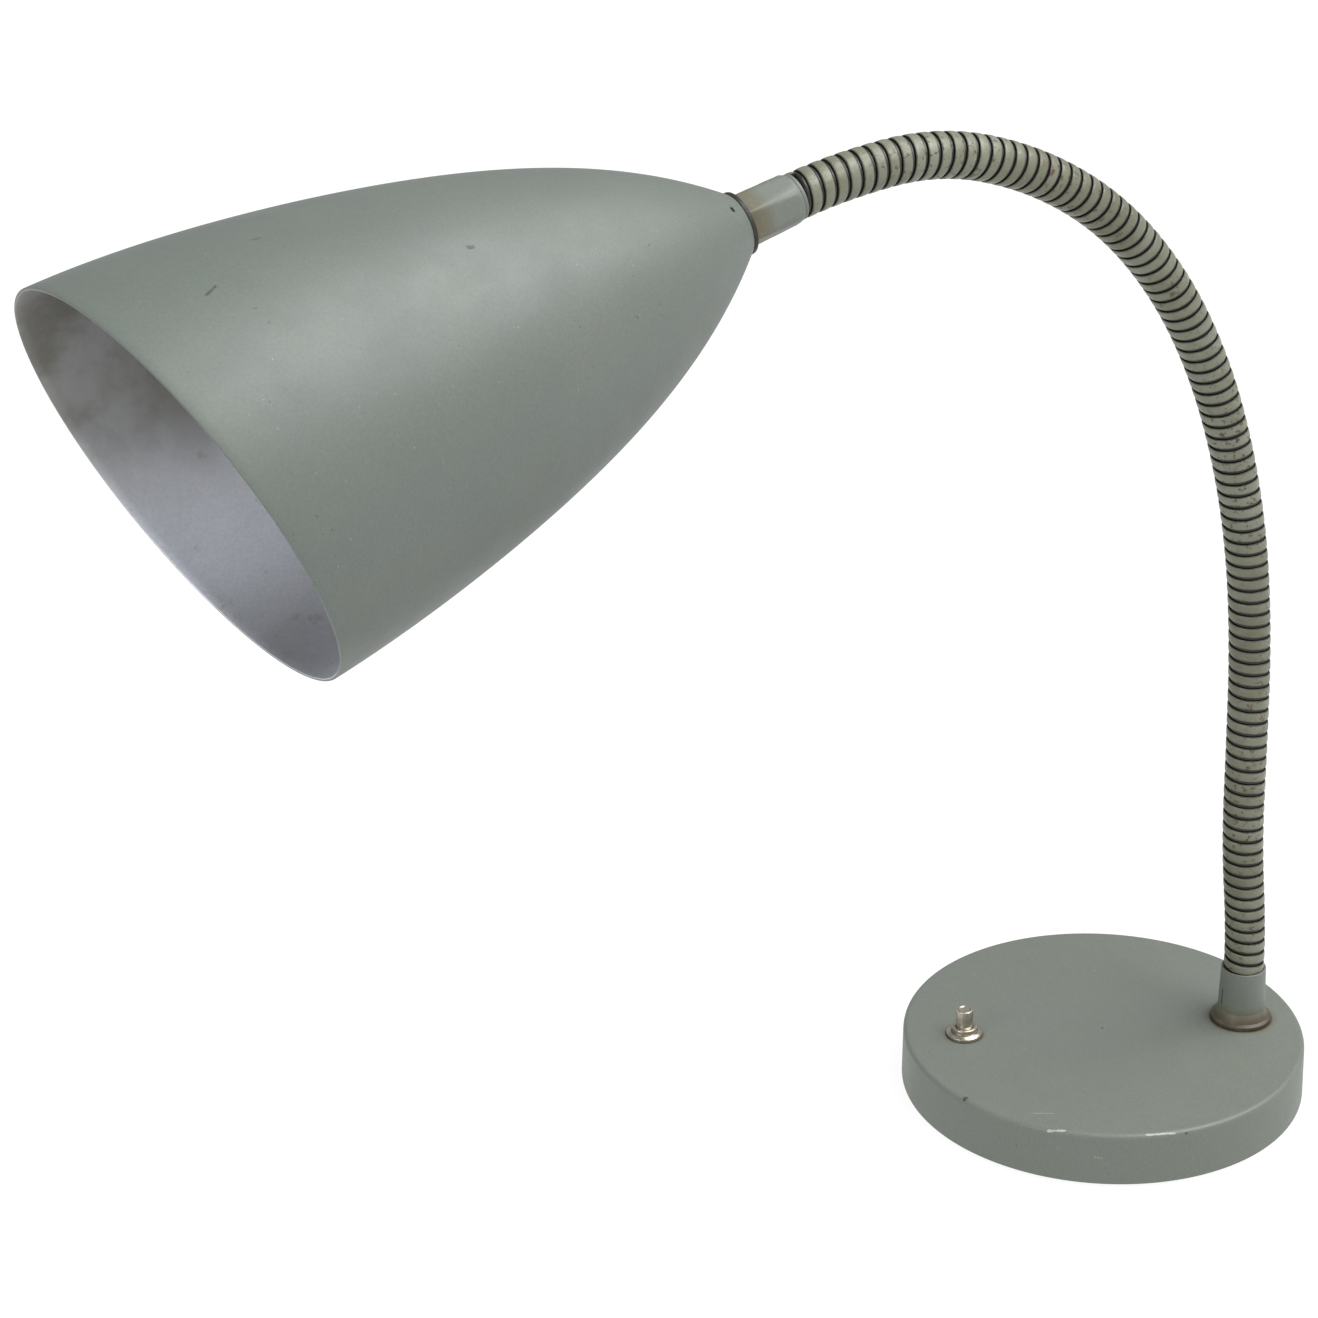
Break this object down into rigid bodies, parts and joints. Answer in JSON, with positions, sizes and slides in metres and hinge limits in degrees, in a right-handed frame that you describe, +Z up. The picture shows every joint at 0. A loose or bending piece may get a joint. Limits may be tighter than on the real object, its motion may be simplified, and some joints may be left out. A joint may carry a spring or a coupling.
{
  "type": "gooseneck desk lamp",
  "caption": "Desk lamp with a weighted round base, push-button switch, bendable ribbed metal neck and a bullet-shaped metal shade with a slanting mouth.",
  "frame": {"origin": "middle of the underside of the base", "axes": "+Z up, +X from the switch to the foot of the neck, the shade reaches towards -X and -Y"},
  "size_m": [0.437, 0.314, 0.3999],
  "materials": {
    "enamel": "satin grey-green paint, worn at the edges",
    "shade_enamel": "grey-green paint outside, bare aluminium inside",
    "neck_steel": "worn grey-green lacquer over steel",
    "nickel": "worn nickel plate",
    "cast_iron": "rough cast",
    "steel": "zinc plated",
    "brass": "turned",
    "felt": "dark felt",
    "rubber": "moulded",
    "bakelite": "dark moulded",
    "cable": "sheathed lead",
    "dark_washer": "darkened steel",
    "bulb_glass": "frosted"
  },
  "bodies": {
    "base": {"base_shell": "enamel", "base_weight": "cast_iron", "bottom_plate": "steel", "felt_pad": "felt", "bottom_screws": "steel", "inlet_grommet": "rubber", "switch_body": "bakelite", "switch_bushing": "nickel", "switch_nut": "nickel", "switch_terminals": "brass", "switch_spring": "steel", "inlet_lead": "cable", "base_lead": "cable", "lower_ferrule": "enamel", "lower_nipple": "brass", "lower_washer": "steel", "lower_locknut": "brass", "neck_root_coil": "neck_steel"},
    "button": {"switch_plunger": "nickel"},
    "neck_01": {"neck_coil_01": "neck_steel", "neck_lead_01": "cable"},
    "neck_02": {"neck_coil_02": "neck_steel", "neck_lead_02": "cable"},
    "neck_03": {"neck_coil_03": "neck_steel", "neck_lead_03": "cable"},
    "neck_04": {"neck_coil_04": "neck_steel", "neck_lead_04": "cable"},
    "neck_05": {"neck_coil_05": "neck_steel", "neck_lead_05": "cable"},
    "neck_06": {"neck_coil_06": "neck_steel", "neck_lead_06": "cable"},
    "neck_07": {"neck_coil_07": "neck_steel", "neck_lead_07": "cable"},
    "neck_08": {"neck_coil_08": "neck_steel", "neck_lead_08": "cable"},
    "neck_09": {"neck_coil_09": "neck_steel", "neck_lead_09": "cable"},
    "neck_10": {"neck_coil_10": "neck_steel", "neck_lead_10": "cable"},
    "neck_11": {"neck_coil_11": "neck_steel", "neck_lead_11": "cable"},
    "head": {"neck_head_coil": "neck_steel", "upper_ferrule": "enamel", "shade_washer": "dark_washer", "shade": "shade_enamel", "shade_nipple": "brass", "shade_locknut": "brass", "lampholder_cap": "bakelite", "lampholder_body": "bakelite", "lampholder_thread": "brass", "lampholder_contact": "brass", "bulb_cap": "nickel", "bulb_glass": "bulb_glass", "head_lead": "cable"}
  },
  "joints": [
    {"name": "neck_bend_low", "type": "hinge", "parent": "base", "child": "neck_01", "pos_m": [0.0539, 0.0012, 0.05834], "axis": [0.4321, -0.9018, 0], "range_deg": [-12, 8]},
    {"name": "neck_sway_low", "type": "hinge", "parent": "neck_01", "child": "neck_02", "pos_m": [0.04961, -0.00086, 0.09709], "axis": [-0.8996, -0.431, -0.0698], "range_deg": [-15, 15]},
    {"name": "neck_bend_low_2", "type": "hinge", "parent": "neck_02", "child": "neck_03", "pos_m": [0.04899, -0.00115, 0.13612], "axis": [0.4321, -0.9018, 0], "range_deg": [-12, 8]},
    {"name": "neck_sway_low_2", "type": "hinge", "parent": "neck_03", "child": "neck_04", "pos_m": [0.04807, -0.00159, 0.17515], "axis": [-0.8999, -0.4312, -0.0654], "range_deg": [-15, 15]},
    {"name": "neck_bend_low_3", "type": "hinge", "parent": "neck_04", "child": "neck_05", "pos_m": [0.04439, -0.00335, 0.21398], "axis": [0.4321, -0.9018, 0], "range_deg": [-12, 8]},
    {"name": "neck_sway_low_3", "type": "hinge", "parent": "neck_05", "child": "neck_06", "pos_m": [0.03647, -0.00715, 0.25201], "axis": [-0.8636, -0.4138, -0.2882], "range_deg": [-15, 15]},
    {"name": "neck_bend_high", "type": "hinge", "parent": "neck_06", "child": "neck_07", "pos_m": [0.02414, -0.01306, 0.28858], "axis": [0.4321, -0.9018, 0], "range_deg": [-25, 9]},
    {"name": "neck_sway_high", "type": "hinge", "parent": "neck_07", "child": "neck_08", "pos_m": [0.00627, -0.02162, 0.32222], "axis": [-0.7226, -0.3462, -0.5983], "range_deg": [-15, 15]},
    {"name": "neck_bend_high_2", "type": "hinge", "parent": "neck_08", "child": "neck_09", "pos_m": [-0.01774, -0.03312, 0.35077], "axis": [0.4321, -0.9018, 0], "range_deg": [-25, 9]},
    {"name": "neck_sway_high_2", "type": "hinge", "parent": "neck_09", "child": "neck_10", "pos_m": [-0.04776, -0.04751, 0.37117], "axis": [-0.3704, -0.1775, -0.9118], "range_deg": [-15, 15]},
    {"name": "neck_bend_high_3", "type": "hinge", "parent": "neck_10", "child": "neck_11", "pos_m": [-0.08143, -0.06364, 0.38259], "axis": [0.4321, -0.9018, 0], "range_deg": [-25, 9]},
    {"name": "neck_sway_high_3", "type": "hinge", "parent": "neck_11", "child": "head", "pos_m": [-0.11653, -0.08045, 0.37952], "axis": [0.1434, 0.0687, -0.9873], "range_deg": [-15, 15]},
    {"name": "switch_press", "type": "slide", "parent": "base", "child": "button", "axis": [0, 0, -1], "range_m": [0, 0.003], "stiffness_N_per_m": 500, "springref_m": -0.002, "deforming": ["switch_spring"]}
  ],
  "couplings": [
    {"joint": "neck_bend_low_2", "follows": "neck_bend_low", "ratio": 1},
    {"joint": "neck_sway_low_2", "follows": "neck_sway_low", "ratio": 1},
    {"joint": "neck_bend_low_3", "follows": "neck_bend_low", "ratio": 1},
    {"joint": "neck_sway_low_3", "follows": "neck_sway_low", "ratio": 1},
    {"joint": "neck_bend_high_2", "follows": "neck_bend_high", "ratio": 1},
    {"joint": "neck_sway_high_2", "follows": "neck_sway_high", "ratio": 1},
    {"joint": "neck_bend_high_3", "follows": "neck_bend_high", "ratio": 1},
    {"joint": "neck_sway_high_3", "follows": "neck_sway_high", "ratio": 1}
  ]
}
